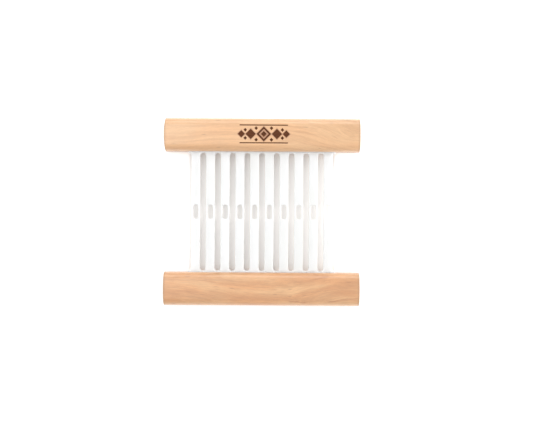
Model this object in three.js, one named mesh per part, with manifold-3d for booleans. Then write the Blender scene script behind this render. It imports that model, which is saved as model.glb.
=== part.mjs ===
// Rigid heddle for narrow bands: two grooved wooden rails hold one moulded plastic insert,
// whose bars carry an eye each and stand a slot apart, so every other warp thread goes through an eye.
// The heddle lies on its back. X runs along the rails, Y from the lower rail to the upper rail,
// and Z up through its thickness, with Z = 0 where the rails' backs rest.
import * as THREE from "three";
import { mergeVertices } from "three/addons/utils/BufferGeometryUtils.js";
import Module from "manifold-3d";

// Gauge of the insert, in millimetres: a dent is one warp place, and slots and eyes take turns.
const INCH = 25.4;
const DENTS_PER_INCH = 5;
const SLOT_PITCH = (2 * INCH) / DENTS_PER_INCH;
const BAR_COUNT = 10;
const SLOT_WIDTH = 4.1;
const SLOT_LENGTH = 81.4;
const EYE_WIDTH = 3.65;
const EYE_LENGTH = 10.1;

// Moulding of the insert.
const INSERT_THICKNESS = 3;
const MOULD_RADIUS = 0.45;
const MODULE_CLEARANCE = 0.1;
const HEADER_SHOWING = 0.9;
const TONGUE_DEPTH = 9;

// Rails, cut from one moulded section with a groove along the inner edge.
const RAIL_LENGTH = 135;
const RAIL_WIDTH = 23;
const RAIL_THICKNESS = 13;
const RAIL_EDGE_RADIUS = 5;
const RAIL_END_EASE = 1.2;
const GROOVE_DEPTH = 9.6;
const FITTING_GAP = 0.3;

// Places that follow from the sizes above.
const SHED_HEIGHT = SLOT_LENGTH + 2 * HEADER_SHOWING;
const RAIL_OFFSET = (SHED_HEIGHT + RAIL_WIDTH) / 2;
const MID_THICKNESS = RAIL_THICKNESS / 2;
const GROOVE_WIDTH = INSERT_THICKNESS + 2 * FITTING_GAP;

// Fineness of the facets: steps in a half-round slot end, in a rail's round edge,
// and in the small eased edges of the insert and of the rails' ends.
const SLOT_END_STEPS = 8;
const RAIL_EDGE_STEPS = 5;
const MOULD_STEPS = 1;
const END_EASE_STEPS = 2;

// How far a cutting tool runs past the wood, and how near two corners are the same corner.
const CUT_OVERRUN = 1;
const SAME_POINT = 1e-4;

const wasm = await Module();
wasm.setup();

// A closed three.js geometry as a manifold-3d solid.
function solidFrom(geometry) {
  const bare = geometry.clone();
  bare.deleteAttribute("normal");
  bare.deleteAttribute("uv");
  const merged = mergeVertices(bare, SAME_POINT);
  return new wasm.Manifold(
    new wasm.Mesh({
      numProp: 3,
      vertProperties: merged.getAttribute("position").array,
      triVerts: new Uint32Array(merged.getIndex().array),
    }),
  );
}

// A manifold-3d solid as a three.js geometry.
function geometryFrom(solid) {
  const mesh = solid.getMesh();
  const geometry = new THREE.BufferGeometry();
  geometry.setAttribute("position", new THREE.BufferAttribute(mesh.vertProperties, 3));
  geometry.setIndex(new THREE.BufferAttribute(mesh.triVerts, 1));
  const flat = geometry.toNonIndexed();
  flat.computeVertexNormals();
  return flat;
}

// A rectangle with round corners, centred on the origin.
function roundedRectangle(width, height, radius) {
  const right = width / 2;
  const top = height / 2;
  const shape = new THREE.Shape();
  shape.absarc(right - radius, top - radius, radius, 0, Math.PI / 2);
  shape.absarc(radius - right, top - radius, radius, Math.PI / 2, Math.PI);
  shape.absarc(radius - right, radius - top, radius, Math.PI, 1.5 * Math.PI);
  shape.absarc(right - radius, radius - top, radius, 1.5 * Math.PI, 2 * Math.PI);
  return shape;
}

// The outline of a slot or an eye: straight sides with a half-round end above and below.
function slotHole(centreX, width, length) {
  const radius = width / 2;
  const straight = length / 2 - radius;
  const hole = new THREE.Path();
  hole.absarc(centreX, straight, radius, 0, Math.PI);
  hole.absarc(centreX, -straight, radius, Math.PI, 2 * Math.PI);
  hole.closePath();
  return hole;
}

// The insert's outline. Each header is a whole module wide, and between the headers
// each side is set in by half a slot, so that two modules side by side would leave a slot.
function insertOutline() {
  const headerX = (BAR_COUNT * SLOT_PITCH) / 2 - MODULE_CLEARANCE;
  const radius = SLOT_WIDTH / 2;
  const sideX = (BAR_COUNT * SLOT_PITCH) / 2 - radius;
  const arcY = SLOT_LENGTH / 2 - radius;
  const topY = SHED_HEIGHT / 2 + TONGUE_DEPTH;
  const meet = Math.acos((headerX - sideX - radius) / radius);
  const outline = new THREE.Shape();
  outline.moveTo(headerX, topY);
  outline.lineTo(-headerX, topY);
  outline.absarc(-sideX - radius, arcY, radius, Math.PI - meet, 0, true);
  outline.absarc(-sideX - radius, -arcY, radius, 0, meet - Math.PI, true);
  outline.lineTo(-headerX, -topY);
  outline.lineTo(headerX, -topY);
  outline.absarc(sideX + radius, -arcY, radius, -meet, -Math.PI, true);
  outline.absarc(sideX + radius, arcY, radius, Math.PI, meet, true);
  outline.closePath();
  return outline;
}

// One moulding: headers, bars, slots and eyes, with every edge rounded for the yarn.
function makeInsert(material) {
  const outline = insertOutline();
  const firstBarX = (-(BAR_COUNT - 1) * SLOT_PITCH) / 2;
  for (let bar = 0; bar < BAR_COUNT; bar += 1) {
    const barX = firstBarX + bar * SLOT_PITCH;
    outline.holes.push(slotHole(barX, EYE_WIDTH, EYE_LENGTH));
    if (bar < BAR_COUNT - 1) {
      outline.holes.push(slotHole(barX + SLOT_PITCH / 2, SLOT_WIDTH, SLOT_LENGTH));
    }
  }
  const geometry = new THREE.ExtrudeGeometry(outline, {
    depth: INSERT_THICKNESS - 2 * MOULD_RADIUS,
    curveSegments: SLOT_END_STEPS,
    bevelEnabled: true,
    bevelThickness: MOULD_RADIUS,
    bevelSize: MOULD_RADIUS,
    bevelOffset: -MOULD_RADIUS,
    bevelSegments: MOULD_STEPS,
  });
  geometry.translate(0, 0, MOULD_RADIUS - INSERT_THICKNESS / 2);
  const insert = new THREE.Mesh(geometry, material);
  insert.name = "heddle_insert";
  insert.position.set(0, 0, MID_THICKNESS);
  return insert;
}

// A rail about its own centre, with its groove in the edge that faces +Y.
function railGeometry() {
  const section = roundedRectangle(RAIL_THICKNESS, RAIL_WIDTH, RAIL_EDGE_RADIUS);
  const blank = new THREE.ExtrudeGeometry(section, {
    depth: RAIL_LENGTH - 2 * RAIL_END_EASE,
    curveSegments: RAIL_EDGE_STEPS,
    bevelEnabled: true,
    bevelThickness: RAIL_END_EASE,
    bevelSize: RAIL_END_EASE,
    bevelOffset: -RAIL_END_EASE,
    bevelSegments: END_EASE_STEPS,
  });
  blank.translate(0, 0, RAIL_END_EASE - RAIL_LENGTH / 2);
  blank.rotateY(Math.PI / 2);
  const groove = new THREE.BoxGeometry(
    RAIL_LENGTH + 2 * CUT_OVERRUN,
    GROOVE_DEPTH + CUT_OVERRUN,
    GROOVE_WIDTH,
  );
  groove.translate(0, (RAIL_WIDTH - GROOVE_DEPTH + CUT_OVERRUN) / 2, 0);
  return geometryFrom(solidFrom(blank).subtract(solidFrom(groove)));
}

// Both rails are the same stick; the upper one is turned round so that the grooves face each other.
function makeRail(name, side, material) {
  const rail = new THREE.Mesh(railGeometry(), material);
  rail.name = name;
  rail.rotation.z = side > 0 ? Math.PI : 0;
  rail.position.set(0, side * RAIL_OFFSET, MID_THICKNESS);
  return rail;
}

const paleWood = new THREE.MeshStandardMaterial({ color: "#f4c89f", roughness: 0.55, metalness: 0 });
const warmWood = new THREE.MeshStandardMaterial({ color: "#e5b38a", roughness: 0.55, metalness: 0 });
const whiteNylon = new THREE.MeshStandardMaterial({ color: "#f8f8f6", roughness: 0.4, metalness: 0 });

const heddle = new THREE.Group();
heddle.add(makeRail("upper_rail", 1, paleWood));
heddle.add(makeRail("lower_rail", -1, warmWood));
heddle.add(makeInsert(whiteNylon));

export default heddle;
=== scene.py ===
"""Builds the visual model of a small rigid heddle around its packed frame.

Two wooden rails hold one moulded plastic insert. The frame says where each of the three lies, and the
sizes below say what the frame leaves out: round edges, grooves, slots, eyes and a burnt ornament.
Everything is in metres. X runs along the rails, Y from the lower rail to the upper rail, and Z up.
"""

import math
from contextlib import contextmanager

import bmesh
import bpy
from bpy.props import FloatProperty, FloatVectorProperty, IntProperty, PointerProperty
from mathutils import Matrix, Vector


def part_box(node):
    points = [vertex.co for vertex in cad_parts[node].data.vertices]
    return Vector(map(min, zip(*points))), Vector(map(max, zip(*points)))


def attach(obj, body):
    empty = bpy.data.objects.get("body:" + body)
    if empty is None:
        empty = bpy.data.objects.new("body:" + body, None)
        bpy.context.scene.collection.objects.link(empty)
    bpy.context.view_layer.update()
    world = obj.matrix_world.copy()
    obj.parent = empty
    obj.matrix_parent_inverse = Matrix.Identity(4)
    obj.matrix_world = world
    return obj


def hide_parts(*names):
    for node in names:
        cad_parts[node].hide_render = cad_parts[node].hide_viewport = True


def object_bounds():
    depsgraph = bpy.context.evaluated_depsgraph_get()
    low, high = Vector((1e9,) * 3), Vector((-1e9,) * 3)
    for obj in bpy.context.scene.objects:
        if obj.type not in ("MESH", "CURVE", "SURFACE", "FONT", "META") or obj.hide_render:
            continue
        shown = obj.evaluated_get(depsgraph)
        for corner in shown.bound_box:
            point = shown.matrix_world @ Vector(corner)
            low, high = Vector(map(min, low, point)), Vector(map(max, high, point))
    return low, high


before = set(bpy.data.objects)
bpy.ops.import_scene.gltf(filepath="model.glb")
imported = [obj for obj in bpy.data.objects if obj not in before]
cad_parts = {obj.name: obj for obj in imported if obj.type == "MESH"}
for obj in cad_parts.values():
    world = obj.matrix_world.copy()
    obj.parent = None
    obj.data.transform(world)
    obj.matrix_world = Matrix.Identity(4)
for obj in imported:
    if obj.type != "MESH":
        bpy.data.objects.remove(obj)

bl_info = {
    "name": "Rigid Heddle",
    "version": (1, 0, 0),
    "blender": (4, 5, 0),
    "location": "View3D > Sidebar > Heddle",
    "description": "Models a rigid heddle with two wooden rails and a moulded insert of slots and eyes",
    "category": "Add Mesh",
}

MM = 0.001
INCH = 0.0254

CAD_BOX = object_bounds()
UPPER_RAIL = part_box("upper_rail")
LOWER_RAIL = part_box("lower_rail")
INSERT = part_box("heddle_insert")
SHED_TOP = UPPER_RAIL[0].y
TONGUE_DEPTH = INSERT[1].y - SHED_TOP
INSERT_THICKNESS = INSERT[1].z - INSERT[0].z

# How far a cutting tool stands out of what it cuts.
OVERRUN = 1 * MM

# Points of a finished piece closer than the first are one point, and so are points of a hole's cutter
# closer than the second.
SLIVER = 0.004 * MM
CUTTER_SLIVER = 0.01 * MM

# Facets of each kind of round.
EDGE_FACETS = 14
END_FACETS = 6
MOUTH_FACETS = 2
MOULD_FACETS = 4
HOLE_FACETS = 16
PIN_FACETS = 32
OVAL_FACETS = 512

# Cut edges sharper than the first angle are rounded. Shading breaks at edges sharper than the other two.
CUT_ANGLE = math.radians(50)
WOOD_CREASE = math.radians(35)
NYLON_CREASE = math.radians(40)


def middle(box):
    """The middle of a box given by its lowest and highest corners."""
    return (box[0] + box[1]) / 2


def length(name, text, default, **limits):
    """A size in metres that shows in the scene's own units."""
    return FloatProperty(
        name=name, description=text, default=default, unit="LENGTH", precision=5, **limits
    )


def share(name, text, default):
    """A number from 0 to 1."""
    return FloatProperty(name=name, description=text, default=default, min=0, max=1, subtype="FACTOR")


def colour(name, text, default):
    """A linear colour."""
    return FloatVectorProperty(
        name=name, description=text, default=default, subtype="COLOR", size=3, min=0, max=1
    )


# ---------------------------------------------------------------- sizes and colours


class RailSizes(bpy.types.PropertyGroup):
    """What the frame leaves out of a rail."""

    edge_radius: length("Edge radius", "Rounding of the four long edges", 5 * MM, min=0)
    face_crown: length("Face crown", "How far the front face swells at its middle", 0.32 * MM, min=0)
    face_steps: IntProperty(
        name="Face steps",
        description="Facets of the front face on each side of its middle",
        default=5, min=1,
    )
    end_ease: length("End ease", "Rounding all round each end", 1.2 * MM, min=0)
    groove_width: length("Groove width", "Width of the groove that holds the insert", 3.24 * MM, min=0)
    groove_depth: length("Groove depth", "Depth of the groove", TONGUE_DEPTH + 0.4 * MM, min=0)
    mouth_ease: length("Mouth ease", "Rounding of the groove's sawn edges", 0.22 * MM, min=0)


class InsertSizes(bpy.types.PropertyGroup):
    """The gauge and the moulding of the insert."""

    dents_per_inch: FloatProperty(
        name="Dents per inch",
        description="Warp places in an inch, slots and eyes together",
        default=5, min=1,
    )
    bars: IntProperty(name="Bars", description="Number of bars, each with one eye", default=10, min=2)
    slot_width: length("Slot width", "Width of the open slots between the bars", 4.1 * MM, min=0)
    slot_length: length("Slot length", "Length of the slots with their round ends", 81.4 * MM, min=0)
    eye_width: length("Eye width", "Width of the eye in each bar", 3.65 * MM, min=0)
    eye_length: length("Eye length", "Length of the eye in each bar", 10.1 * MM, min=0)
    edge_radius: length("Edge radius", "Rounding of every edge that yarn can touch", 0.45 * MM, min=0)
    pin_radius: length("Pin radius", "Radius of the ejector pins' marks on the back", 1.3 * MM, min=0)
    pin_depth: length("Pin depth", "Depth of the ejector pins' marks", 0.08 * MM, min=0)
    pin_spread: length("Pin spread", "Distance of each pin mark from its bar's middle", 22 * MM, min=0)


class OrnamentSizes(bpy.types.PropertyGroup):
    """A row of lozenges burnt into the upper rail, as on a woven band."""

    pairs: IntProperty(
        name="Pairs", description="Pairs of smaller lozenges beside the large one", default=2, min=0
    )
    half_width: length("Half width", "Half the width of the large lozenge", 5.0 * MM, min=0)
    half_height: length("Half height", "Half the height of the large lozenge", 5.1 * MM, min=0)
    shrink: FloatProperty(
        name="Shrink", description="Size of each pair beside the one before",
        default=0.7, min=0.1, max=1, subtype="FACTOR",
    )
    gap: length("Gap", "Gap between the tips of two lozenges", 0.5 * MM, min=0)
    line: length("Line", "Width of a burnt line", 1.15 * MM, min=0)
    depth: length("Depth", "Depth of the burnt lines", 0.35 * MM, min=0)
    border_line: length("Border line", "Width of the two border lines", 0.75 * MM, min=0)
    border_reach: length("Border reach", "Distance of the borders from the row's middle", 6.1 * MM, min=0)
    border_half: length("Border half", "Half the length of the border lines", 16.6 * MM, min=0)
    seed_width: length("Seed width", "Half the width of a seed between the lozenges", 1.25 * MM, min=0)
    seed_height: length("Seed height", "Half the height of the seeds", 1.35 * MM, min=0)
    shift_x: length("Shift", "How far the ornament stands to the right of the rail's middle", 1.1 * MM)
    shift_y: length("Lift", "How far the ornament stands above the rail's middle", 0.4 * MM)


def stick(crowns, pale, dark, warm, end, pith, ring, figure, left_run, right_run, seed):
    """The properties of one rail's stick of wood, with the defaults of that rail."""
    return {
        "crowns": FloatVectorProperty(
            name="Crowns", description="How far the left and right ends swell at their middles",
            default=crowns, size=2, unit="LENGTH", precision=5, min=0,
        ),
        "pale": colour("Pale", "Wood between two rings", pale),
        "dark": colour("Dark", "Wood of the late rings", dark),
        "warm": colour("Warm", "Tint of the warmer patches", warm),
        # The end colour is darker end grain, and also painted shade along the rounded ends.
        "end": colour("End", "End grain", end),
        "pith": FloatVectorProperty(
            name="Pith", description="Heart of the tree across the rail, from its middle, in mm",
            default=pith, size=2,
        ),
        "ring": FloatProperty(
            name="Ring", description="Width of a year's growth, in mm", default=ring
        ),
        "figure": share("Figure", "How strongly the fibres show", figure),
        "left_run": FloatVectorProperty(
            name="Left run",
            description="Where the grain starts and stops climbing to the left, and how far, in mm",
            default=left_run, size=3,
        ),
        "right_run": FloatVectorProperty(
            name="Right run",
            description="Where the grain starts and stops climbing to the right, and how far, in mm",
            default=right_run, size=3,
        ),
        "seed": FloatProperty(
            name="Seed", description="Picks another stick of the same wood", default=seed
        ),
    }


class UpperStick(bpy.types.PropertyGroup):
    """A straight-grained stick whose grain runs out at the right."""

    __annotations__ = stick(
        crowns=(1.0 * MM, 0.3 * MM),
        pale=(0.655, 0.391, 0.196),
        dark=(0.50, 0.262, 0.118),
        warm=(0.675, 0.378, 0.178),
        end=(0.43, 0.25, 0.13),
        pith=(-62.0, -36.0),
        ring=2.6,
        figure=0.36,
        left_run=(0.0, -60.0, 0.0),
        right_run=(14.0, 68.0, -12.0),
        seed=3.0,
    )


class LowerStick(bpy.types.PropertyGroup):
    """A darker stick sawn nearer the heart, with broad bands that dip in the middle."""

    __annotations__ = stick(
        crowns=(0.3 * MM, 0.25 * MM),
        pale=(0.63, 0.356, 0.166),
        dark=(0.43, 0.190, 0.073),
        warm=(0.61, 0.300, 0.124),
        end=(0.40, 0.225, 0.112),
        pith=(-24.0, -52.0),
        ring=3.0,
        figure=0.74,
        left_run=(-2.0, -66.0, 10.0),
        right_run=(16.0, 60.0, 10.5),
        seed=17.0,
    )


class OtherFinishes(bpy.types.PropertyGroup):
    """Colours of the plastic, the burnt lines and the floor."""

    nylon: colour("Nylon", "White plastic of the insert", (0.745, 0.752, 0.760))
    char: colour("Char", "Wood burnt by the hot iron", (0.080, 0.027, 0.010))
    # The floor colour is laid only under the heddle, a warmer and darker tint than the white round it:
    # painted warm shade.
    floor: colour("Floor", "Pale floor under the heddle", (0.955, 0.930, 0.905))


class StageSizes(bpy.types.PropertyGroup):
    """The camera over the heddle, and the light."""

    camera_height: length("Camera height", "Height of the camera above the insert", 0.75, min=0.1)
    lens: FloatProperty(name="Lens", description="Focal length in millimetres", default=73.4, min=1)
    camera_x: length("Camera X", "Camera's place to the right of the heddle's middle", 3.3 * MM)
    camera_y: length("Camera Y", "Camera's place above the heddle's middle", -4.45 * MM)
    camera_roll: FloatProperty(
        name="Camera roll", description="Turn of the camera about its own axis",
        default=math.radians(0.35), subtype="ANGLE",
    )
    sky: FloatProperty(
        name="Sky", description="Strength of the white light from all round", default=1.10, min=0
    )
    left: share("Left", "How much of that light comes from the left side too", 0.40)
    glow: FloatProperty(
        name="Glow", description="Light that the floor round the heddle gives by itself",
        default=0.26, min=0,
    )
    glow_under: share("Glow under", "Share of that light that the floor gives under the slots", 0.29)
    eye_shade: share("Eye shade", "How much less it glows under the eyes than under the slots", 0.3)
    glow_reach: length("Glow reach", "How wide the glow's edge is on each side of the outline", 1.0 * MM)
    key: FloatProperty(
        name="Key", description="Power of the soft box above, in watts", default=4.05, min=0
    )
    strip: FloatProperty(
        name="Strip", description="Power of the box past the upper rail, in watts", default=5.9, min=0
    )
    side: FloatProperty(
        name="Side", description="Power of the low soft box on the right, in watts", default=13.2, min=0
    )


# ---------------------------------------------------------------- modelling by hand


def only(piece):
    """Make one object the only one selected, and the active one."""
    bpy.ops.object.select_all(action="DESELECT")
    piece.select_set(True)
    bpy.context.view_layer.objects.active = piece


def newest(name):
    """The object that a primitive operator has just added."""
    piece = bpy.context.view_layer.objects.active
    piece.name = name
    piece.data.name = name
    only(piece)
    return piece


@contextmanager
def editing(piece, kind):
    """Edit mode on one piece, picking vertices, edges or faces, with nothing selected at first."""
    only(piece)
    bpy.ops.object.mode_set(mode="EDIT")
    bpy.ops.mesh.select_mode(type=kind)
    bpy.ops.mesh.select_all(action="DESELECT")
    yield
    bpy.ops.object.mode_set(mode="OBJECT")


def pick_edges(piece, wanted):
    """Select the edges that pass a test."""
    mesh = bmesh.from_edit_mesh(piece.data)
    for edge in mesh.edges:
        if wanted(edge):
            edge.select_set(True)
    bmesh.update_edit_mesh(piece.data)


def runs_along(edge, axis):
    """True if an edge is straight along an axis, 0 for X, 1 for Y and 2 for Z."""
    nearly_all = 0.999
    line = edge.verts[1].co - edge.verts[0].co
    return abs(line[axis]) > nearly_all * line.length


def apply_modifier(piece, kind, **settings):
    """Add a modifier to a piece, set it up and apply it."""
    only(piece)
    bpy.ops.object.modifier_add(type=kind)
    modifier = piece.modifiers[-1]
    for name, value in settings.items():
        setattr(modifier, name, value)
    bpy.ops.object.modifier_apply(modifier=modifier.name)


def cut(piece, tool, operation="DIFFERENCE"):
    """Cut a piece with a tool and throw the tool away. The cut faces take the tool's finish."""
    apply_modifier(
        piece, "BOOLEAN", object=tool, operation=operation, solver="EXACT", material_mode="TRANSFER"
    )
    bpy.data.objects.remove(tool)


def block(name, low, high):
    """A box from its lowest corner to its highest corner."""
    bpy.ops.mesh.primitive_cube_add(size=1)
    piece = newest(name)
    with editing(piece, "VERT"):
        bpy.ops.mesh.select_all(action="SELECT")
        bpy.ops.transform.resize(value=high - low, center_override=(0, 0, 0))
        bpy.ops.transform.translate(value=(low + high) / 2)
    return piece


def copied(piece, offset):
    """A copy with its own mesh, moved by an offset."""
    twin = piece.copy()
    twin.data = piece.data.copy()
    twin.data.transform(Matrix.Translation(offset))
    bpy.context.collection.objects.link(twin)
    return twin


def joined(pieces):
    """Several objects made one."""
    only(pieces[0])
    for piece in pieces:
        piece.select_set(True)
    bpy.ops.object.join()
    return bpy.context.view_layer.objects.active


def polished(piece, angle):
    """Near points merged, then smooth shading that breaks at sharp edges and leaves the flats flat."""
    with editing(piece, "VERT"):
        bpy.ops.mesh.select_all(action="SELECT")
        bpy.ops.mesh.remove_doubles(threshold=SLIVER)
    bpy.ops.object.shade_smooth_by_angle(angle=angle)
    apply_modifier(piece, "WEIGHTED_NORMAL", keep_sharp=True)


# ---------------------------------------------------------------- finishes


class Wire:
    """A value, colour or vector in a finish. Sums on values add Math nodes."""

    def __init__(self, finish, socket):
        self.finish = finish
        self.socket = socket

    def sum(self, operation, *values):
        """A Math node over wires and numbers."""
        return self.finish.node("Math", {"operation": operation}, dict(enumerate(values)))

    def __add__(self, other):
        return self.sum("ADD", self, other)

    def __radd__(self, other):
        return self.sum("ADD", other, self)

    def __sub__(self, other):
        return self.sum("SUBTRACT", self, other)

    def __rsub__(self, other):
        return self.sum("SUBTRACT", other, self)

    def __mul__(self, other):
        return self.sum("MULTIPLY", self, other)

    def __rmul__(self, other):
        return self.sum("MULTIPLY", other, self)

    def __truediv__(self, other):
        return self.sum("DIVIDE", self, other)

    def __pow__(self, other):
        return self.sum("POWER", self, other)

    def __abs__(self):
        return self.sum("ABSOLUTE", self)

    def at_least(self, other):
        """The greater of two values."""
        return self.sum("MAXIMUM", self, other)

    def whole(self):
        """The whole number below a value."""
        return self.sum("FLOOR", self)

    def part(self):
        """What a value has above that whole number."""
        return self.sum("FRACT", self)

    def fade(self, start, end):
        """0 before start, 1 past end and smooth between."""
        return self.finish.node(
            "MapRange",
            {"interpolation_type": "SMOOTHSTEP"},
            {"Value": self, "From Min": start, "From Max": end},
        )


def new_finish(name):
    """A finish that makes a new material."""
    return Finish(bpy.data.materials.new(name))


def waved(place, waves):
    """A place in millimetres turned into waves of a noise, axis by axis."""
    return [axis * wave for axis, wave in zip(place, waves)]


class Finish:
    """A material or a sky being made, node by node."""

    def __init__(self, made):
        self.made = made
        made.use_nodes = True
        self.tree = made.node_tree
        self.tree.nodes.clear()

    def node(self, kind, settings=None, inputs=None, output=0):
        """Add any node: its settings are made first, then its sockets are fed."""
        node = self.tree.nodes.new("ShaderNode" + kind)
        for name, value in (settings or {}).items():
            setattr(node, name, value)
        for key, value in (inputs or {}).items():
            socket = node.inputs[key]
            if isinstance(value, Wire):
                self.tree.links.new(value.socket, socket)
            elif socket.type == "RGBA":
                socket.default_value = (*value[:3], 1)
            else:
                socket.default_value = value
        return Wire(self, node.outputs[output]) if node.outputs else None

    def millimetres(self, origin):
        """The place on the object as three values, in millimetres from an origin in metres."""
        here = self.node("TexCoord", output="Object")
        scaled = self.node(
            "Mapping", None, {"Vector": here, "Location": -origin / MM, "Scale": (1 / MM,) * 3}
        )
        return [self.node("SeparateXYZ", None, {0: scaled}, axis) for axis in range(3)]

    def point(self, x, y, z):
        """Three values made a vector or a colour."""
        return self.node("CombineXYZ", None, {0: x, 1: y, 2: z})

    def noise(self, x, y, z, detail=2.0, rough=0.5):
        """Smooth noise round 0.5."""
        inputs = {"Vector": self.point(x, y, z), "Scale": 1.0, "Detail": detail, "Roughness": rough}
        return self.node("TexNoise", None, inputs)

    def mix(self, factor, first, second, how="MIX"):
        """One colour laid over another."""
        settings = {"data_type": "RGBA", "blend_type": how}
        return self.node("Mix", settings, {0: factor, 6: first, 7: second}, 2)

    def bump(self, height, depth):
        """A relief whose height runs from 0 to 1 over a depth in metres."""
        return self.node("Bump", None, {"Height": height, "Distance": depth, "Strength": 1.0})

    def done(self, **sockets):
        """Close the finish with the shader that everything feeds."""
        named = {name.replace("_", " "): value for name, value in sockets.items()}
        shader = self.node("BsdfPrincipled", None, named)
        self.node("OutputMaterial", None, {"Surface": shader})
        return self.made


# ---------------------------------------------------------------- the stage

# Each soft box: its name, place, width and height, and the stage size that holds its power.
SOFT_BOXES = (
    ("KeyBox", (-0.48, 0.15, 1.17), 0.6, 0.6, "key"),
    ("StripBox", (0.15, 1.03, 0.72), 1.6, 0.60, "strip"),
    ("SideBox", (1.35, 0.07, 0.135), 1.08, 0.24, "side"),
)

FLOOR_WIDTH = 12
FLOOR_WHITE = (0.97, 0.97, 0.97)

# Where the sky goes over from its left side to the rest, as the X of a direction.
LEFT_SKY = (-0.7, 0.1)

# Where the shade under an eye fades out: sideways, as shares of the step from bar to bar, and past
# the eye's ends, in millimetres.
EYE_SHADE_SIDES = (0.20, 0.30)
EYE_SHADE_ENDS = 3


class HEDDLE_OT_add_stage(bpy.types.Operator):
    """Lay a pale floor under the heddle, with soft light and a camera straight above"""

    bl_idname = "heddle.add_stage"
    bl_label = "Add Stage"

    def execute(self, context):
        sizes = context.scene.heddle_stage
        self.add_floor(context.scene.heddle_finishes.floor, sizes, context.scene.heddle_insert)
        self.add_sky(context, sizes.sky, sizes.left)
        for name, place, width, height, power in SOFT_BOXES:
            self.add_soft_box(name, place, width, height, getattr(sizes, power))
        self.add_camera(context, sizes)
        context.scene.view_settings.view_transform = "Standard"
        return {"FINISHED"}

    def add_camera(self, context, sizes):
        """A camera that looks straight down."""
        centre = middle(CAD_BOX)
        height = INSERT[1].z + sizes.camera_height
        bpy.ops.object.camera_add(
            location=(centre.x + sizes.camera_x, centre.y + sizes.camera_y, height),
            rotation=(0, 0, sizes.camera_roll),
        )
        camera = context.object
        camera.data.lens = sizes.lens
        context.scene.camera = camera

    def add_floor(self, pale, sizes, insert_sizes):
        """A floor with painted light: it glows white round the heddle's outline, so no shadow shows
        there, and glows less under its slots and eyes. Under the heddle its colour is a warmer pale, a
        painted warm shade.
        """
        bpy.ops.mesh.primitive_plane_add(size=FLOOR_WIDTH)
        floor = newest("Floor")
        finish = new_finish("PaleFloor")
        x, y, _ = finish.millimetres(middle(CAD_BOX))
        reach = sizes.glow_reach / MM
        # The mask clear is 1 outside the heddle's outline. There the floor turns white and glows fully,
        # painted light that hides the heddle's shadows.
        clear = 1
        for low, high in (UPPER_RAIL, LOWER_RAIL, INSERT):
            centre = (middle((low, high)) - middle(CAD_BOX)) / MM
            half = (high - low) / 2 / MM
            outside_x = abs(x - centre.x) - half.x
            outside_y = abs(y - centre.y) - half.y
            clear = outside_x.at_least(outside_y).fade(-reach, reach) * clear
        # Under the heddle the floor still glows a little. This is painted light in the slots, cut back
        # under the eyes as painted shade.
        under = (1 - self.painted_eye_shade_mask(x, y, insert_sizes) * sizes.eye_shade) * sizes.glow_under
        painted_glow = clear + under * (1 - clear)
        # The base colour is white outside the outline and the warmer pale under the heddle, painted warm
        # shade.
        floor.data.materials.append(finish.done(
            Base_Color=finish.mix(clear, pale, FLOOR_WHITE),
            Roughness=0.9,
            Specular_IOR_Level=0.1,
            Emission_Color=finish.point(painted_glow, painted_glow, painted_glow),
            Emission_Strength=sizes.glow,
        ))

    def painted_eye_shade_mask(self, x, y, sizes):
        """1 on the floor under the eyes, 0 under the slots. It marks where the floor's glow is cut back,
        painted shade under the eyes.
        """
        pitch = 2 * INCH / sizes.dents_per_inch / MM
        half_eye = sizes.eye_length / 2 / MM
        from_eye = abs((x / pitch).part() - 0.5)
        past_end = abs(y).fade(half_eye, half_eye + EYE_SHADE_ENDS)
        return (1 - from_eye.fade(*EYE_SHADE_SIDES)) * (1 - past_end)

    def add_sky(self, context, strength, left_share):
        """White from all round, dimmer on the left, and plain white where the camera sees it."""
        world = bpy.data.worlds.new("WhiteTent")
        tent = Finish(world)
        direction = tent.node("TexCoord", output="Generated")
        left = 1 - tent.node("SeparateXYZ", None, {0: direction}).fade(*LEFT_SKY)
        seen = tent.node("LightPath", output="Is Camera Ray")
        light = (1 - left * (1 - left_share)) * strength
        shown = light * (1 - seen) + seen
        background = tent.node("Background", None, {"Color": (1, 1, 1), "Strength": shown})
        tent.node("OutputWorld", None, {"Surface": background})
        context.scene.world = world

    def add_soft_box(self, name, place, width, height, power):
        """A rectangular soft box that faces the heddle."""
        where = Vector(place)
        bpy.ops.object.light_add(type="AREA", location=where)
        box = bpy.context.object
        box.name = name
        box.rotation_euler = where.to_track_quat("Z", "Y").to_euler()
        box.data.shape = "RECTANGLE"
        box.data.size = width
        box.data.size_y = height
        box.data.energy = power


# ---------------------------------------------------------------- the rails


def rail_blank(name, box, sizes, crowns):
    """A stick with round long edges and sanded ends, before its groove is cut."""
    low, high = box
    rail = block(name, low, high)
    with editing(rail, "EDGE"):
        pick_edges(rail, lambda edge: runs_along(edge, 0))
        bpy.ops.mesh.bevel(
            offset=sizes.edge_radius, segments=EDGE_FACETS, affect="EDGES", clamp_overlap=True
        )
    crown_face(rail, box, sizes)
    cut(rail, crown_oval(box, -1, crowns[0]), "INTERSECT")
    cut(rail, crown_oval(box, 1, crowns[1]), "INTERSECT")
    with editing(rail, "EDGE"):
        pick_edges(rail, is_end_rim)
        bpy.ops.mesh.bevel(offset=sizes.end_ease, segments=END_FACETS, affect="EDGES", clamp_overlap=True)
    return rail


def crown_face(rail, box, sizes):
    """Swell the front face a little across its width, as sanding leaves it."""
    low, high = box
    centre = middle(box)
    flat = (high.y - low.y) / 2 - sizes.edge_radius
    with editing(rail, "EDGE"):
        for step in range(-sizes.face_steps, sizes.face_steps + 1):
            bpy.ops.mesh.select_all(action="SELECT")
            place = Vector((0, centre.y + flat * step / (sizes.face_steps + 1), 0))
            bpy.ops.mesh.bisect(plane_co=place, plane_no=(0, 1, 0))
        mesh = bmesh.from_edit_mesh(rail.data)
        for vertex in mesh.verts:
            if vertex.co.z > centre.z:
                across = (vertex.co.y - centre.y) * 2 / (high.y - low.y)
                vertex.co.z -= sizes.face_crown * across * across
        bmesh.update_edit_mesh(rail.data)


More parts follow.
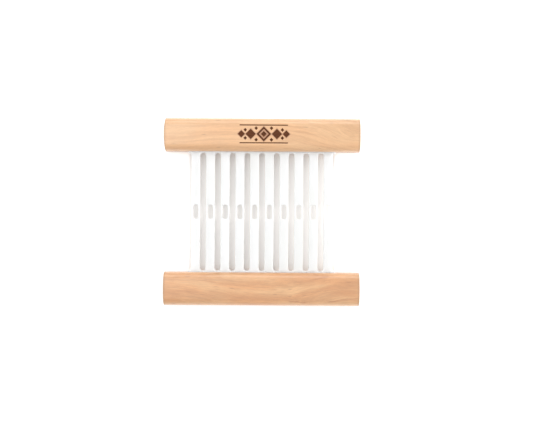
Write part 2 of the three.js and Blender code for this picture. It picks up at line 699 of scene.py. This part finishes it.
def crown_oval(box, side, crown):
    """A long oval whose tip gives one end of a rail its sanded swell."""
    low, high = box
    centre = middle(box)
    half_width = (high.y - low.y) / 2
    half_long = high.x - low.x
    half_across = half_width * math.sqrt(half_long / (2 * crown))
    tip = high.x if side > 0 else low.x
    bpy.ops.mesh.primitive_cylinder_add(vertices=OVAL_FACETS, radius=1, depth=(high.z - low.z) * 2)
    oval = newest("CrownOval")
    with editing(oval, "VERT"):
        bpy.ops.mesh.select_all(action="SELECT")
        bpy.ops.transform.resize(value=(half_long, half_across, 1), center_override=(0, 0, 0))
        bpy.ops.transform.translate(value=(tip - side * half_long, centre.y, centre.z))
    return oval


def is_end_rim(edge):
    """True for an edge between a rail's end and its sides."""
    if len(edge.link_faces) != 2:
        return False
    facing_x = 0.9
    ends = [abs(face.normal.x) > facing_x for face in edge.link_faces]
    return ends[0] != ends[1]


class HEDDLE_OT_add_rails(bpy.types.Operator):
    """Shape both rails, cut their grooves and give each its own wood"""

    bl_idname = "heddle.add_rails"
    bl_label = "Add Rails"

    def execute(self, context):
        scene = context.scene
        sizes = scene.heddle_rails
        for name, node, slot, box, side, look in (
            ("UpperRail", "upper_rail", "pale_wood", UPPER_RAIL, 1, scene.heddle_upper_stick),
            ("LowerRail", "lower_rail", "warm_wood", LOWER_RAIL, -1, scene.heddle_lower_stick),
        ):
            rail = rail_blank(name, box, sizes, look.crowns)
            self.cut_groove(rail, box, side, sizes)
            rail.data.materials.clear()
            rail.data.materials.append(wood_finish(name + "Wood", scene, middle(box), look, side > 0))
            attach(rail, "root")
            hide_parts(node)
        return {"FINISHED"}

    def cut_groove(self, rail, box, side, sizes):
        """Saw the groove along the inner edge and ease its mouth."""
        low, high = box
        centre = middle(box)
        inner = low.y if side > 0 else high.y
        ys = sorted((inner - side * OVERRUN, inner + side * sizes.groove_depth))
        half = sizes.groove_width / 2
        tool = block(
            "GrooveTool",
            Vector((low.x - OVERRUN, ys[0], centre.z - half)),
            Vector((high.x + OVERRUN, ys[1], centre.z + half)),
        )
        cut(rail, tool)
        apply_modifier(
            rail, "BEVEL", width=sizes.mouth_ease, segments=MOUTH_FACETS, limit_method="ANGLE",
            angle_limit=CUT_ANGLE,
        )


# ---------------------------------------------------------------- the wood

# Waves of each noise in a millimetre, along the stick and across it. The bands' second number counts
# outwards from the pith.
SWAY_WAVES = (0.022, 0.05)
LIFT_WAVES = (0.016, 0.05)
UNEVEN_WAVES = (0.035, 0.3)
BAND_WAVES = (0.010, 0.42)
SHOW_WAVES = (0.06, 0.15)
FIBRE_WAVES = (0.11, 1.5)
HAIR_WAVES = (0.35, 5.0)
PATCH_WAVES = (0.03, 0.12)
FLECK_WAVES = (0.10, 0.95)

# How far the grain sways across the face and through it, and how uneven the years are, in millimetres.
SWAY = 4
LIFT = 5
UNEVEN = 3.2

# Towards a rail's upper edge the grain climbs less. Between these heights, in millimetres from the
# rail's middle, it comes to lose this share of its climb.
CLIMB_FADE = (-6, 11)
CLIMB_LOSS = 0.7

# Late wood starts at the first share of a year's ring, is darkest at the second, and then stops.
LATE_WOOD = (0.55, 0.93)

# How strong the faintest year's line is, and how far apart the years' noises are drawn.
FAINTEST_YEAR = 0.4
YEAR_JUMP = 40

# The ring lines have this share of their strength left of the first place, in millimetres from the
# rail's middle, and all of it right of the second.
LINES_FADE = (-10, 30)
LINES_LEFT = 0.25

# Where the noises turn from none to all.
BAND_FADE = (0.38, 0.66)
SHOW_FADE = (0.45, 0.62)
PATCH_FADE = (0.35, 0.68)

# How strongly each part of the figure colours the wood, and how deep its relief is.
BAND_SHARE = 0.45
BAND_SHARE_OF_FIGURE = 0.15
LINE_SHARE = 0.9
HAIR_SHARE = 0.36
FLECK_SHARE = 0.6
FLECK_SHADE = 0.45
# The end's share is end grain and painted shade along the rounded ends.
END_GRAIN_AND_SHADE_SHARE = 0.7
WOOD_RELIEF = 0.035 * MM

# A fleck's dash is full up to the first distance from its heart, and only cells whose chance comes
# past the second pair have one.
FLECK_DASH = (0.08, 0.28)
FLECK_CHANCE = (0.82, 0.97)

# The end grain's colour, with its painted shade along the rounded ends, comes in over this stretch, in
# millimetres from the end.
END_FADE = (2.0, 0.3)

# Roughness of the sealed face, and what the end grain, the fibres and the ring lines add.
SEALED_ROUGHNESS = 0.42
END_ROUGHNESS = 0.22
FIBRE_ROUGHNESS = 0.2
LINE_ROUGHNESS = 0.05

# The scorch is full up to this share of a lozenge's own size and dies away over this width outside it.
# It also dies away under the face, and is gone at the first depth. Both are in millimetres.
SCORCH_START = 0.98
SCORCH_WIDTH = 1.1
SCORCH_DEPTH = (1.6, 0.6)
SCORCH_TINT = (0.50, 0.34, 0.24)
SCORCH_SHARE = 0.8


def straightened(wood, x, y, z, look):
    """The place across and through the stick, once the grain's climb and sway are taken out."""
    left_start, left_stop, left_rise = look.left_run
    right_start, right_stop, right_rise = look.right_run
    climb = x.fade(left_start, left_stop) * left_rise + x.fade(right_start, right_stop) * right_rise
    along, across = SWAY_WAVES
    sway = wood.noise(x * along + look.seed, y * across, z * across, detail=1) - 0.5
    along, across = LIFT_WAVES
    lift = wood.noise(x * along, y * across + look.seed, z * across, detail=1) - 0.5
    return y - climb * (1 - y.fade(*CLIMB_FADE) * CLIMB_LOSS) + sway * SWAY, z + lift * LIFT


def year_rings(wood, x, v, w, look):
    """Masks of the broad bands and of the fine ring lines. Both follow the distance from the pith."""
    dy = v - look.pith[0]
    dz = w - look.pith[1]
    along, across = UNEVEN_WAVES
    uneven = wood.noise(x * along, v * across, w * across + look.seed, detail=3) - 0.5
    age = (dy * dy + dz * dz) ** 0.5 + uneven * UNEVEN

    along, across = BAND_WAVES
    bands = wood.noise(x * along, age * across + look.seed, 0.0, detail=3, rough=0.6).fade(*BAND_FADE)

    rings = age / look.ring
    within = rings.part()
    years = wood.node("TexWhiteNoise", {"noise_dimensions": "1D"}, {"W": rings.whole()})
    along, across = SHOW_WAVES
    shows = wood.noise(x * along + years * YEAR_JUMP, v * across, w * across, detail=2).fade(*SHOW_FADE)
    start, darkest = LATE_WOOD
    lines = within.fade(start, darkest) * (1 - within.fade(darkest, 1.0)) * shows
    lines = lines * (FAINTEST_YEAR + (1 - FAINTEST_YEAR) * years)
    return bands, lines * (LINES_LEFT + (1 - LINES_LEFT) * x.fade(*LINES_FADE))


def wood_finish(name, scene, centre, look, with_ornament):
    """Solid wood: bands and ring lines round the pith, fibres along the stick, flecks, sealed satin."""
    wood = new_finish(name)
    x, y, z = wood.millimetres(centre)
    v, w = straightened(wood, x, y, z, look)
    bands, lines = year_rings(wood, x, v, w, look)

    # Fibres along the stick, warmer patches, and short dark flecks.
    along, across = FIBRE_WAVES
    fibres = wood.noise(x * along, v * across + look.seed, w * across, detail=5, rough=0.72)
    along, across = HAIR_WAVES
    hairs = wood.noise(x * along, v * across, w * across + look.seed, detail=3, rough=0.6)
    along, across = PATCH_WAVES
    patches = wood.noise(x * along + look.seed, v * across, w * across, detail=2)
    along, across = FLECK_WAVES
    flecks = fleck_mask(wood, x * along + look.seed, v * across, w * across)

    tint = wood.mix(patches.fade(*PATCH_FADE), look.pale, look.warm)
    tint = wood.mix(bands * (BAND_SHARE + look.figure * BAND_SHARE_OF_FIGURE), tint, look.dark)
    tint = wood.mix(lines * LINE_SHARE, tint, look.dark)
    tone = 1 + (fibres - 0.5) * look.figure + (hairs - 0.5) * HAIR_SHARE
    tint = wood.mix(1.0, tint, wood.point(tone, tone, tone), "MULTIPLY")
    tint = wood.mix(flecks * FLECK_SHARE, tint, [FLECK_SHADE * part for part in look.dark])

    # The sawn ends drink the sealer, so they are duller and their grain darker. The darker colour also
    # paints shade along the rounded ends.
    rail_half = (UPPER_RAIL[1].x - UPPER_RAIL[0].x) / 2 / MM
    end = abs(x).fade(rail_half - END_FADE[0], rail_half - END_FADE[1])
    tint = wood.mix(end * END_GRAIN_AND_SHADE_SHARE, tint, look.end)
    if with_ornament:
        scorch = scorch_mask(wood, x, y, z, scene.heddle_ornament)
        scorched = wood.mix(1.0, tint, SCORCH_TINT, "MULTIPLY")
        tint = wood.mix(scorch * SCORCH_SHARE, tint, scorched)

    rough = SEALED_ROUGHNESS + end * END_ROUGHNESS + (fibres - 0.5) * FIBRE_ROUGHNESS
    relief = fibres * 0.4 + hairs * 0.4 + lines * 0.2 - flecks * 0.5
    return wood.done(
        Base_Color=tint,
        Roughness=rough + lines * LINE_ROUGHNESS,
        Specular_IOR_Level=0.7,
        Coat_Weight=1.0,
        Coat_Roughness=0.26,
        Sheen_Weight=0.5,
        Sheen_Roughness=0.3,
        Normal=wood.bump(relief, WOOD_RELIEF),
    )


def fleck_mask(wood, along, across, through):
    """1 in a few short dashes, one at most in each cell of the stretched wood."""
    settings = {"feature": "F1"}
    place = {"Vector": wood.point(along, across, through), "Scale": 1.0, "Randomness": 1.0}
    near = wood.node("TexVoronoi", settings, place, "Distance")
    chance = wood.node("SeparateColor", None, {0: wood.node("TexVoronoi", settings, place, "Color")})
    return (1 - near.fade(*FLECK_DASH)) * chance.fade(*FLECK_CHANCE)


def scorch_mask(wood, x, y, z, ornament):
    """1 in the burnt lozenges, fading to 0 round them and under the face."""
    front = (UPPER_RAIL[1].z - UPPER_RAIL[0].z) / 2 / MM
    mask = 0
    for place, wide, tall in lozenges(ornament):
        across = abs(x - (place + ornament.shift_x) / MM) / (wide / MM)
        up = abs(y - ornament.shift_y / MM) / (tall / MM)
        spread = SCORCH_WIDTH * MM / min(wide, tall)
        here = 1 - (across + up).fade(SCORCH_START, 1 + spread)
        mask = here if isinstance(mask, int) else mask.at_least(here)
    return mask * z.fade(front - SCORCH_DEPTH[0], front - SCORCH_DEPTH[1])


# ---------------------------------------------------------------- the ornament

# A ring, or a plain core, needs this many line widths between a lozenge's heart and its side.
ROOM_FOR_RING = 2.2
ROOM_FOR_CORE = 0.5

# Line widths from one ring's side to the next one's.
RING_STEP = 1.85

# Where the seeds' middles stand, as a share of the half height of the larger lozenge beside them.
SEED_LIFT = 0.78

# Waves of the burnt fibres in a millimetre along X, Y and Z, where they turn to ash, how much paler
# the ash is than the char, and how deep the fibres are.
CHAR_WAVES = (0.4, 5.0, 5.0)
ASH_FADE = (0.35, 0.75)
ASH_PALER = 1.9
CHAR_RELIEF = 0.05 * MM


def lozenges(ornament):
    """Every lozenge of the row: its place along the rail, its half width and its half height."""
    row = [(0.0, ornament.half_width, ornament.half_height)]
    edge, wide, tall = ornament.half_width, ornament.half_width, ornament.half_height
    for _ in range(ornament.pairs):
        wide *= ornament.shrink
        tall *= ornament.shrink
        place = edge + ornament.gap + wide
        row += [(place, wide, tall), (-place, wide, tall)]
        edge = place + wide
    return row


def seeds(ornament):
    """The middles of the small seeds, above and below each gap between two lozenges."""
    places = []
    for place, wide, tall in lozenges(ornament)[1:]:
        gap = math.copysign(abs(place) - wide - ornament.gap / 2, place)
        height = tall * SEED_LIFT / ornament.shrink
        places += [(gap, height), (gap, -height)]
    return places


def char_finish(scene, centre):
    """Wood burnt dark brown at the bottom of the engraved lines."""
    char = new_finish("BurntWood")
    fibres = char.noise(*waved(char.millimetres(centre), CHAR_WAVES), detail=3)
    burnt = scene.heddle_finishes.char
    ashen = [ASH_PALER * part for part in burnt]
    return char.done(
        Base_Color=char.mix(fibres.fade(*ASH_FADE), burnt, ashen),
        Roughness=0.78 + fibres * 0.1,
        Specular_IOR_Level=0.2,
        Normal=char.bump(fibres, CHAR_RELIEF),
    )


class HEDDLE_OT_engrave_ornament(bpy.types.Operator):
    """Burn a row of lozenges into the upper rail's face"""

    bl_idname = "heddle.engrave_ornament"
    bl_label = "Engrave Ornament"

    def execute(self, context):
        sizes = context.scene.heddle_ornament
        rail = bpy.data.objects["UpperRail"]
        centre = middle(UPPER_RAIL)
        heart_x = centre.x + sizes.shift_x
        heart_y = centre.y + sizes.shift_y
        top = UPPER_RAIL[1].z
        tools = []
        for place, wide, tall in lozenges(sizes):
            tools += self.nested(Vector((heart_x + place, heart_y, top + OVERRUN)), wide, tall, sizes)
        for place, height in seeds(sizes):
            where = Vector((heart_x + place, heart_y + height, top + OVERRUN))
            tools.append(self.lozenge(where, sizes.seed_width, sizes.seed_height, 0, sizes.depth))
        for side in (-1, 1):
            tools.append(self.border(Vector((heart_x, heart_y + side * sizes.border_reach, top)), sizes))
        tool = joined(tools)
        with editing(tool, "FACE"):
            bpy.ops.mesh.select_all(action="SELECT")
            bpy.ops.mesh.normals_make_consistent(inside=False)
        tool.data.materials.append(char_finish(context.scene, centre))
        cut(rail, tool)
        polished(rail, WOOD_CREASE)
        polished(bpy.data.objects["LowerRail"], WOOD_CREASE)
        return {"FINISHED"}

    def border(self, heart, sizes):
        """A long punch for one border line, with its heart on the rail's face."""
        half = Vector((sizes.border_half, sizes.border_line / 2, 0))
        bottom = Vector((0, 0, sizes.depth))
        return block("BorderPunch", heart - half - bottom, heart + half + Vector((0, 0, OVERRUN)))

    def nested(self, where, wide, tall, sizes):
        """Rings of a lozenge one inside another, with a plain core where no ring fits."""
        inside = wide * tall / math.hypot(wide, tall)
        tools = []
        while inside > ROOM_FOR_CORE * sizes.line:
            ring = inside > ROOM_FOR_RING * sizes.line
            tools.append(self.lozenge(where, wide, tall, sizes.line if ring else 0, sizes.depth))
            kept = 1 - RING_STEP * sizes.line / inside
            if not ring or kept <= 0:
                break
            wide, tall, inside = wide * kept, tall * kept, inside * kept
        return tools

    def lozenge(self, where, wide, tall, line, depth):
        """A lozenge-shaped punch, hollow if it has a line width."""
        bpy.ops.mesh.primitive_circle_add(vertices=4, radius=1, fill_type="NGON")
        punch = newest("LozengePunch")
        with editing(punch, "FACE"):
            bpy.ops.mesh.select_all(action="SELECT")
            bpy.ops.transform.resize(value=(wide, tall, 1), center_override=(0, 0, 0))
            bpy.ops.transform.translate(value=where)
            if line > 0:
                bpy.ops.mesh.inset(thickness=line)
                bpy.ops.mesh.delete(type="FACE")
                bpy.ops.mesh.select_all(action="SELECT")
            bpy.ops.mesh.extrude_region_move(TRANSFORM_OT_translate={"value": (0, 0, -OVERRUN - depth)})
        return punch


# ---------------------------------------------------------------- the insert

# The rounding of a hole's corners takes this share of its half width. What is left is merged.
ROUND_END = 0.9999

# Waves of the plastic's noises in a millimetre along X, Y and Z.
CLOUD_WAVES = (0.05, 0.03, 0.3)
FLOW_WAVES = (0.45, 0.05, 0.4)
GRAIN_WAVES = (5.0, 5.0, 5.0)

# Where the clouds turn from none to all, what they leave of each colour, and the relief's depth.
CLOUD_FADE = (0.3, 0.75)
CLOUD_TINT = (0.965, 0.965, 0.945)
NYLON_RELIEF = 0.012 * MM


class HEDDLE_OT_add_insert(bpy.types.Operator):
    """Mould the insert: headers, bars, slots and eyes"""

    bl_idname = "heddle.add_insert"
    bl_label = "Add Insert"

    def execute(self, context):
        sizes = context.scene.heddle_insert
        insert = block("Insert", *INSERT)
        centre = middle(INSERT)
        pitch = 2 * INCH / sizes.dents_per_inch
        half_span = sizes.bars * pitch / 2
        slot = self.hole("SlotTool", centre, sizes.slot_width, sizes.slot_length)
        eye = self.hole("EyeTool", centre, sizes.eye_width, sizes.eye_length)
        tools = [copied(slot, Vector((k * pitch - half_span, 0, 0))) for k in range(sizes.bars + 1)]
        tools += [copied(eye, Vector(((k + 0.5) * pitch - half_span, 0, 0))) for k in range(sizes.bars)]
        bpy.data.objects.remove(slot)
        bpy.data.objects.remove(eye)
        cut(insert, joined(tools))
        apply_modifier(
            insert, "BEVEL", width=sizes.edge_radius, segments=MOULD_FACETS, limit_method="ANGLE",
            angle_limit=CUT_ANGLE,
        )
        self.mark_pins(insert, centre, pitch, sizes)
        insert.data.materials.clear()
        insert.data.materials.append(nylon_finish(context.scene, centre))
        polished(insert, NYLON_CREASE)
        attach(insert, "root")
        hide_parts("heddle_insert")
        return {"FINISHED"}

    def hole(self, name, centre, width, long):
        """A cutting tool with straight sides and half-round ends."""
        size = Vector((width, long, INSERT_THICKNESS + 2 * OVERRUN)) / 2
        tool = block(name, centre - size, centre + size)
        with editing(tool, "EDGE"):
            pick_edges(tool, lambda edge: runs_along(edge, 2))
            bpy.ops.mesh.bevel(offset=width / 2 * ROUND_END, segments=HOLE_FACETS, affect="EDGES")
            bpy.ops.mesh.select_all(action="SELECT")
            bpy.ops.mesh.remove_doubles(threshold=CUTTER_SLIVER)
        return tool

    def mark_pins(self, insert, centre, pitch, sizes):
        """Shallow round marks on the back, where the mould's pins pushed the insert out."""
        back = INSERT[0].z
        tools = []
        for k in range(sizes.bars):
            for side in (-1, 1):
                place = Vector((
                    centre.x + (k + 0.5 - sizes.bars / 2) * pitch,
                    centre.y + side * sizes.pin_spread,
                    back - OVERRUN / 2 + sizes.pin_depth,
                ))
                bpy.ops.mesh.primitive_cylinder_add(
                    vertices=PIN_FACETS, radius=sizes.pin_radius, depth=OVERRUN, location=place
                )
                tools.append(newest("PinTool"))
        tool = joined(tools)
        bpy.ops.object.transform_apply(location=True, rotation=True, scale=True)
        cut(insert, tool)


def nylon_finish(scene, centre):
    """White moulded nylon: satin, faintly clouded, with the mould's fine texture."""
    nylon = new_finish("WhiteNylon")
    place = nylon.millimetres(centre)
    white = scene.heddle_finishes.nylon
    clouded = [part * left for part, left in zip(white, CLOUD_TINT)]
    cloud = nylon.noise(*waved(place, CLOUD_WAVES), detail=3)
    flow = nylon.noise(*waved(place, FLOW_WAVES), detail=2)
    grain = nylon.noise(*waved(place, GRAIN_WAVES), detail=2)
    return nylon.done(
        Base_Color=nylon.mix(cloud.fade(*CLOUD_FADE), white, clouded),
        Roughness=0.34 + flow * 0.14,
        Specular_IOR_Level=0.5,
        Subsurface_Weight=1.0,
        Subsurface_Radius=(1.0, 1.0, 1.0),
        Subsurface_Scale=4 * MM,
        Normal=nylon.bump(grain * 0.6 + flow * 0.4, NYLON_RELIEF),
    )


# ---------------------------------------------------------------- the panel


class HEDDLE_PT_panel(bpy.types.Panel):
    """Lists the heddle's operators, sizes and colours"""

    bl_idname = "HEDDLE_PT_panel"
    bl_label = "Rigid Heddle"
    bl_space_type = "VIEW_3D"
    bl_region_type = "UI"
    bl_category = "Heddle"

    def draw(self, context):
        for operator in OPERATORS:
            self.layout.operator(operator.bl_idname)
        for name, group in GROUPS.items():
            column = self.layout.box().column()
            column.label(text=group.__doc__)
            for key in group.__annotations__:
                column.prop(getattr(context.scene, name), key)


GROUPS = {
    "heddle_rails": RailSizes,
    "heddle_insert": InsertSizes,
    "heddle_ornament": OrnamentSizes,
    "heddle_upper_stick": UpperStick,
    "heddle_lower_stick": LowerStick,
    "heddle_finishes": OtherFinishes,
    "heddle_stage": StageSizes,
}
OPERATORS = (HEDDLE_OT_add_stage, HEDDLE_OT_add_rails, HEDDLE_OT_engrave_ornament, HEDDLE_OT_add_insert)


def register():
    for name, group in GROUPS.items():
        bpy.utils.register_class(group)
        setattr(bpy.types.Scene, name, PointerProperty(type=group))
    for kind in (*OPERATORS, HEDDLE_PT_panel):
        bpy.utils.register_class(kind)


def unregister():
    for kind in (HEDDLE_PT_panel, *reversed(OPERATORS)):
        bpy.utils.unregister_class(kind)
    for name, group in reversed(GROUPS.items()):
        delattr(bpy.types.Scene, name)
        bpy.utils.unregister_class(group)


def main():
    register()
    bpy.ops.heddle.add_stage()
    bpy.ops.heddle.add_rails()
    bpy.ops.heddle.engrave_ornament()
    bpy.ops.heddle.add_insert()


if __name__ == "__main__":
    main()
